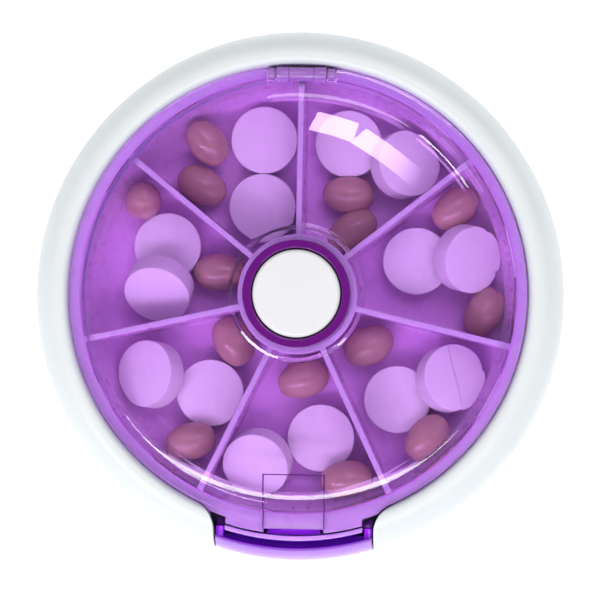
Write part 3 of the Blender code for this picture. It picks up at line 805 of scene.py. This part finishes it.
def tab_outline(front_r):
    """A tab in the front notch: flanks along its flares, and a front about the case's axis."""
    flank_r = FLARE_R + SEAM_GAP
    reach = math.hypot(FLARE_X, FLARE_Y)
    toward_axis = math.degrees(math.atan2(-FLARE_Y, -FLARE_X))
    swing = (reach**2 + flank_r**2 - front_r**2) / (2 * reach * flank_r)
    flank_end = toward_axis + math.degrees(math.acos(swing))
    right = arc((FLARE_X, FLARE_Y), (flank_r, flank_r), toward_axis, flank_end, 14)
    front = front_arc(front_r, right[-1][0], 30)[1:-1]
    inside = [(15.0, -33.6)]
    return inside + right + front[::-1] + mirrored(inside + right)


def catch_room(name):
    """A cutter that leaves room for the catch in the tray's shelf and the lid's lip."""
    half = CATCH_ROOM_HALF
    plan = [(-half, CATCH_ROOM_BACK), *front_arc(CATCH_ROOM_R, half, 12), (half, CATCH_ROOM_BACK)]
    return prism(name, plan, TRAY_SHELF_Z[0] - 0.5, LID_RIM_Z + 0.8)


def catch_rib(material):
    """A thin rectangular rib moulded under the lid's front, from the dome to the slot."""
    deep = 1.1
    half_width = 5.2
    thick = 0.16
    front = -39.4
    back = -30.2
    top = [point for point in lid_under() if point[0] > 28.0]
    top += [(36.6, RIM_LOW_Z), (39.8, RIM_LOW_Z)]
    low = [(radius - 0.1, max(height - deep, RIM_LOW_Z - 0.18)) for radius, height in reversed(top)]
    high = [(radius + 0.1, height + 0.3) for radius, height in top]
    rib = turned("lid_catch_rib", high + low, material)
    combine(rib, "INTERSECT", block("rib_outside", (-half_width, half_width), (front, back), (10, 30)))
    inner = half_width - thick
    combine(rib, "DIFFERENCE", block("rib_inside", (-inner, inner), (front - 1, back - thick), (10, 30)))
    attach(rib, "lid")


def lid_skirt(material):
    """The wall that hangs from the lid's lip, with the ledge that the catch holds."""
    wall = front_band(SKIRT_IN_R, LIP_R - 0.02, LIP_HALF - 0.02)
    skirt = prism("lid_skirt", wall, SKIRT_LOW_Z, 18.28, "Z", material)
    half = 4.8
    back = -39.95
    plan = [(-half, back), *front_arc(SKIRT_IN_R + 0.15, half, 12), (half, back)]
    ledge = prism("ledge", plan, SKIRT_LOW_Z + 0.02, 15.0)
    combine(skirt, "UNION", ledge)
    polish(skirt, 0.08)
    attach(skirt, "lid")


def lid_collar(material):
    """The collar's deep wall round the button, opaque, in a deep violet that is painted shade and depth tint
    for the dim view down into clear plastic.
    """
    inner, outer = COLLAR_R
    top = CREST_Z - 0.02
    corners = [(outer, 18.0, 0.2), (inner, 18.0, 0.2), (inner, top, 0.3), (COLLAR_LIP_R, top, 0.06)]
    outline = eased([*corners, (COLLAR_LIP_R, 22.6), (outer, 22.2)], 4)
    collar = turned("lid_collar", outline, material)
    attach(collar, "lid")


def lid_knuckles(material):
    """The hinge arms, their knuckles and the cover over the spring between them."""
    over_spring = arc(PIVOT[1:], (COVER_R[1], COVER_R[1]), 15, 165, 20)
    over_spring += arc(PIVOT[1:], (COVER_R[0], COVER_R[0]), 165, 15, 20)
    knuckles = prism("lid_knuckles", over_spring, -2.15, 2.15, "X", material)
    for side in (-1, 1):
        low, high = sorted((side * 2.1, side * 4.2))
        combine(
            knuckles,
            "UNION",
            block("arm", (low + 0.02, high - 0.02), (35.72, PIVOT[1]), (19.35, 20.95)),
            rod("knuckle", KNUCKLE_R, (low, PIVOT[1], PIVOT[2]), (high, PIVOT[1], PIVOT[2])),
        )
    combine(knuckles, "DIFFERENCE", pin_hole())
    polish(knuckles, 0.1)
    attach(knuckles, "lid")


def lid(material):
    cover = turned("lid_cover", lid_section(), material)
    tab = prism("tab", tab_outline(TAB_R), RIM_LOW_Z + 0.02, LID_RIM_Z - 0.02)
    combine(tab, "DIFFERENCE", turned("tab_hollow", [(0, 17), (35.9, 17), (35.9, 22), (0, 22)]))
    lip = prism("lip", front_band(LIP_IN_R, LIP_R, LIP_HALF), RIM_LOW_Z - 0.5, 19.4)
    combine(cover, "UNION", tab, lip)
    combine(cover, "DIFFERENCE", catch_room("lid_catch_room"))
    combine(cover, "DIFFERENCE", block("hinge_room", (-6.0, 6.0), (35.7, 42), (15, 24)))
    polish(cover, 0.0)
    stand_for(cover, "lid", "clear_violet_lid", "lid")


# Latch strip


def latch_strip(material):
    low, high = STRIP_Z
    seam = SEAM_Z + SEAM_GAP
    face = arc((RING_CREST_R, seam), (CASE_R - RING_CREST_R, RING_CREST_Z - seam), 2, 50, 16)
    section = [(STRIP_IN_R, low), *face, (STRIP_IN_R + 0.4, high), (STRIP_IN_R, high - 0.4)]
    strip = turned("latch_strip", section, material)
    wedge = prism("strip_width", notch_outline(STRIP_HALF, FLARE_R + SEAM_GAP, 30, 50), 10, 22)
    combine(strip, "INTERSECT", wedge)
    floor_plate = front_band(39.9, STRIP_IN_R + 0.4, STRIP_HALF - 0.02)
    combine(strip, "UNION", prism("strip_floor", floor_plate, low + 0.02, WEB_TOP))
    for side in (-1, 1):
        cheek = sorted((side * 11.9, side * (STRIP_HALF - 0.04)))
        combine(strip, "UNION", block("cheek", cheek, (-41.6, -39.2), (low + 0.04, 17.6)))
    combine(
        strip,
        "UNION",
        block("upright", (-4.6, 4.6), (-39.65, -38.75), (8.3, 16.6)),
        block("bridge", (-4.55, 4.55), (-40.6, -39.35), (low + 0.06, WEB_TOP - 0.03)),
        prism("catch", front_band(39.3, 40.5, 4.5, 8), 15.3, 16.58),
        block("spring_seat", (-9.6, 9.6), (-39.63, -38.77), (5.77, 8.6)),
        block("foot", (-3.9, 3.9), (-39.61, -35.9), (5.75, 6.9)),
        rod("peg", 1.1, (0, -37.3, 4.1), (0, -37.3, 6.2)),
    )
    polish(strip, 0.12)
    stand_for(strip, "latch", "violet_latch", "latch_button")


# Centre button


def button_cap(material):
    edge = 0.7
    outline = [(0, 22.6), (2.7, 22.6), (2.7, 19.8), (4.1, 19.8), (4.1, 22.6), (6.3, 22.6), (6.3, 16.0)]
    outline += [(BUTTON_R, 16.0)]
    outline += arc((BUTTON_R - edge, BUTTON_TOP - edge), (edge, edge), 0, 90, 8)
    outline += [(5.5, BUTTON_TOP - 0.01), (0, BUTTON_TOP - 0.06)]
    cap = turned("button_cap", outline, material, steps=120)
    stand_for(cap, "button", "white_button", "centre_button")


# Loose contents


def tablet(name, place, tilt, heading, material, scored=False):
    """A round tablet with a band and low crowned faces, tipped so that its top looks along heading."""
    half = TABLET_THICK / 2
    crown = 0.35
    ease = 0.22
    band = half - crown
    upper = arc((TABLET_R - ease, band - ease), (ease, ease), 0, 90, 4)
    reach = TABLET_R - ease
    for step in range(1, 9):
        radius = reach * (1 - step / 8)
        upper.append((radius, band + crown * (1 - (radius / reach) ** 2)))
    outline = [(radius, -height) for radius, height in upper[::-1]] + upper
    piece = turned(name, outline, material, 72)
    if scored:
        groove = prism("groove", [(-0.3, half + 0.2), (0, half - 0.45), (0.3, half + 0.2)], -7, 7, "Y")
        combine(piece, "DIFFERENCE", groove)
        polish(piece, 0.0)
    tip = Matrix.Rotation(math.radians(tilt), 4, "Y")
    settle_at(piece, place, Matrix.Rotation(math.radians(heading), 4, "Z") @ tip)
    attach(piece, "case")


def settle_at(piece, place, turn):
    piece.matrix_world = Matrix.Translation(Vector(place) * MM) @ turn


def tablets(material):
    half = TABLET_THICK / 2
    bottom = TRAY_FLOOR[1] + CLEAR
    for number, (x, y) in enumerate(FLAT_TABLETS, 1):
        tablet(f"tablet_{number:02d}", (x, y, bottom + half), 0, 0, material)
    for index, (x, y, tilt, heading, under) in enumerate(LEANING_TABLETS):
        slope = math.radians(tilt)
        facing = Vector((math.cos(math.radians(heading)), math.sin(math.radians(heading))))
        below = Vector(FLAT_TABLETS[under])
        toward = (Vector((x, y)) - below).normalized()
        along = (below + toward * TABLET_R - Vector((x, y))).dot(facing)
        on_flat = bottom + TABLET_THICK + CLEAR + (half + along * math.sin(slope)) / math.cos(slope)
        on_floor = bottom + TABLET_R * math.sin(slope) + half * math.cos(slope)
        name = f"tablet_{len(FLAT_TABLETS) + index + 1:02d}"
        tablet(name, (x, y, max(on_flat, on_floor)), tilt, heading, material, index == SCORED_TABLET)


def softgels(material):
    """Oval capsules with the raised seam that joins their two halves."""
    long_half, round_half = SOFTGEL_HALF
    for number, (x, y, rise, heading, pitch) in enumerate(SOFTGELS, 1):
        outline = [(0, -long_half)]
        for step in range(1, 40):
            angle = math.pi * step / 40
            height = -long_half * math.cos(angle)
            seam = 0.07 * math.exp(-((height / 0.14) ** 2))
            outline.append((round_half * math.sin(angle) ** 0.86 + seam, height))
        outline.append((0, long_half))
        piece = turned(f"softgel_{number:02d}", outline, material, 64, 60)
        tip = Matrix.Rotation(math.radians(90 - pitch), 4, "Y")
        turn = Matrix.Rotation(math.radians(heading), 4, "Z") @ tip
        settle_at(piece, (x, y, TRAY_FLOOR[1] + rise), turn)
        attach(piece, "case")


# Camera, floor and light


def stage():
    shape = bmesh.new()
    half = 1500
    add_prism(shape, [(-half, -half), (half, -half), (half, half), (-half, half)], -5, -0.02)
    material, tree, shader = new_material("studio_floor")
    shade = ranged(tree, noise(tree, 4, 2), 0.93, 0.95)
    combined = tree.nodes.new("ShaderNodeCombineColor")
    for channel in ("Red", "Green", "Blue"):
        tree.links.new(shade, combined.inputs[channel])
    tree.links.new(combined.outputs["Color"], shader.inputs["Base Color"])
    shader.inputs["Roughness"].default_value = 0.8
    shader.inputs["Specular IOR Level"].default_value = 0.2
    shader.inputs["Emission Color"].default_value = (1, 1, 1, 1)
    shader.inputs["Emission Strength"].default_value = 0.45
    floor = finish_mesh("studio_floor", shape, material)


def soft_light(name, place, aim, size, glow, fade=None, spin=0.0):
    """A rectangular soft light. Lengths are in millimetres, and glow is its radiance where white is 1.

    With fade, its glow falls from full at one end of its width to that share at the other.
    """
    data = bpy.data.lights.new(name, "AREA")
    data.shape = "RECTANGLE"
    data.size = size[0] * MM
    data.size_y = size[1] * MM
    data.energy = 4 * data.size * data.size_y * glow
    lamp = bpy.data.objects.new(name, data)
    bpy.context.scene.collection.objects.link(lamp)
    turn = (Vector(place) - Vector(aim)).to_track_quat("Z", "Y").to_matrix().to_4x4()
    spun = Matrix.Rotation(math.radians(spin), 4, "Z")
    lamp.matrix_world = Matrix.Translation(Vector(place) * MM) @ turn @ spun
    if fade is not None:
        data.use_nodes = True
        tree = data.node_tree
        emission = next(node for node in tree.nodes if node.type == "EMISSION")
        where = tree.nodes.new("ShaderNodeNewGeometry")
        parts = tree.nodes.new("ShaderNodeSeparateXYZ")
        tree.links.new(where.outputs["Parametric"], parts.inputs["Vector"])
        tree.links.new(ranged(tree, parts.outputs["X"], fade, 1.0, 0.0, 0.75), emission.inputs["Strength"])


def lights():
    """A pale room with a darker ceiling, a two-pane window behind the case and strip lights around it."""
    world = bpy.data.worlds.new("studio")
    bpy.context.scene.world = world
    world.use_nodes = True
    tree = world.node_tree
    background = tree.nodes["Background"]
    coordinates = tree.nodes.new("ShaderNodeTexCoord")
    parts = tree.nodes.new("ShaderNodeSeparateXYZ")
    tree.links.new(coordinates.outputs["Generated"], parts.inputs["Vector"])
    ramp = tree.nodes.new("ShaderNodeValToRGB")
    tree.links.new(parts.outputs["Z"], ramp.inputs["Fac"])
    ramp.color_ramp.elements[0].position = 0.0
    ramp.color_ramp.elements[0].color = (0.80, 0.83, 0.85, 1)
    ramp.color_ramp.elements[1].position = 0.95
    ramp.color_ramp.elements[1].color = (0.22, 0.22, 0.23, 1)
    for position, colour in ((0.45, (0.98, 0.99, 1.0, 1)), (0.80, (1.0, 1.0, 1.0, 1))):
        ramp.color_ramp.elements.new(position).color = colour
    tree.links.new(ramp.outputs["Color"], background.inputs["Color"])
    background.inputs["Strength"].default_value = 0.52
    soft_light("window_pane", (12, 353, 1000), (12, 353, 0), (84, 60), 9, None, -18)
    soft_light("window_pane_2", (112, 290, 1000), (112, 290, 0), (140, 58), 9, 0.0, -38)
    soft_light("front_strip", (0, -520, 800), (0, 0, 20), (1250, 75), 12)
    soft_light("corner_strip", (-371, -530, 645), (0, 0, 20), (560, 60), 16)
    soft_light("back_strip", (49, 487, 910), (0, 0, 20), (350, 90), 5)
    soft_light("back_strip_2", (305, 368, 916), (0, 0, 20), (177, 62), 20)
    soft_light("side_strip", (430, 430, 350), (0, 0, 20), (250, 40), 9)


def camera():
    """Above the case, a little to the right and to the front, as close as a hand-held photo is taken."""
    place = Vector((30, -20, 600))
    aim = Vector((0.05, -0.7, 12.5))
    framed_width = 102.3
    data = bpy.data.cameras.new("camera")
    data.sensor_width = 36
    data.lens = data.sensor_width * (place - aim).length / framed_width
    data.clip_start = 0.01
    data.clip_end = 20
    view = bpy.data.objects.new("camera", data)
    bpy.context.scene.collection.objects.link(view)
    back = (place - aim).normalized()
    roll = math.radians(1.0)
    right = Vector((math.cos(roll), math.sin(roll), 0))
    right = (right - back * right.dot(back)).normalized()
    up = back.cross(right)
    view.matrix_world = Matrix.Translation(place * MM) @ Matrix((right, up, back)).transposed().to_4x4()
    bpy.context.scene.camera = view


def build():
    bpy.context.scene.view_settings.view_transform = "Standard"
    camera()
    lights()
    stage()

    white = shell_plastic()
    button_white = moulded("white_button", (0.80, 0.79, 0.82), (0.77, 0.76, 0.79), (0.38, 0.5), 0.006)
    acetal = moulded("grey_acetal", (0.60, 0.60, 0.62), (0.55, 0.55, 0.58), (0.4, 0.55), 0.006)
    clear = clear_plastic("clear_violet_lid", (0.536, 0.0, 0.81), 362)
    hinge_violet = moulded("violet_hinge", (0.36, 0.15, 0.55), (0.31, 0.12, 0.49), (0.2, 0.3))
    deep_violet = moulded("deep_violet", (0.14, 0.006, 0.21), (0.12, 0.004, 0.18), (0.10, 0.18), 0.003)
    pale_violet = moulded("pale_violet", (0.60, 0.42, 0.86), (0.55, 0.38, 0.80), (0.25, 0.35))
    lacquer = moulded("lacquered_wire", (0.52, 0.29, 0.62), (0.45, 0.25, 0.55), (0.3, 0.4))
    steel = drawn_steel()

    base_half(white)
    ring_half(white)
    pill_tray(tray_plastic())
    lid(clear)
    lid_skirt(pale_violet)
    # painted shade and depth tint: deep_violet makes the collar dark, for the dim, deeply tinted view down
    # into it
    lid_collar(deep_violet)
    catch_rib(deep_violet)
    lid_knuckles(hinge_violet)
    latch_strip(strip_plastic())
    button_cap(button_white)
    tablets(chalk())
    softgels(gelatin())

    better = {
        "button_guide": acetal,
        "button_plunger": acetal,
        "latch_link": acetal,
        "hinge_pin": lacquer,
        "lid_spring": lacquer,
        "latch_spring_left": steel,
        "latch_spring_right": steel,
        "retaining_clip": steel,
        "button_spring": steel,
    }
    for number in (1, 2):
        better[f"guide_screw_{number}"] = steel
    for number in (1, 2, 3, 4):
        better[f"tray_screw_{number}"] = steel
    for node, material in better.items():
        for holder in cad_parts[node].material_slots:
            holder.material = material


build()
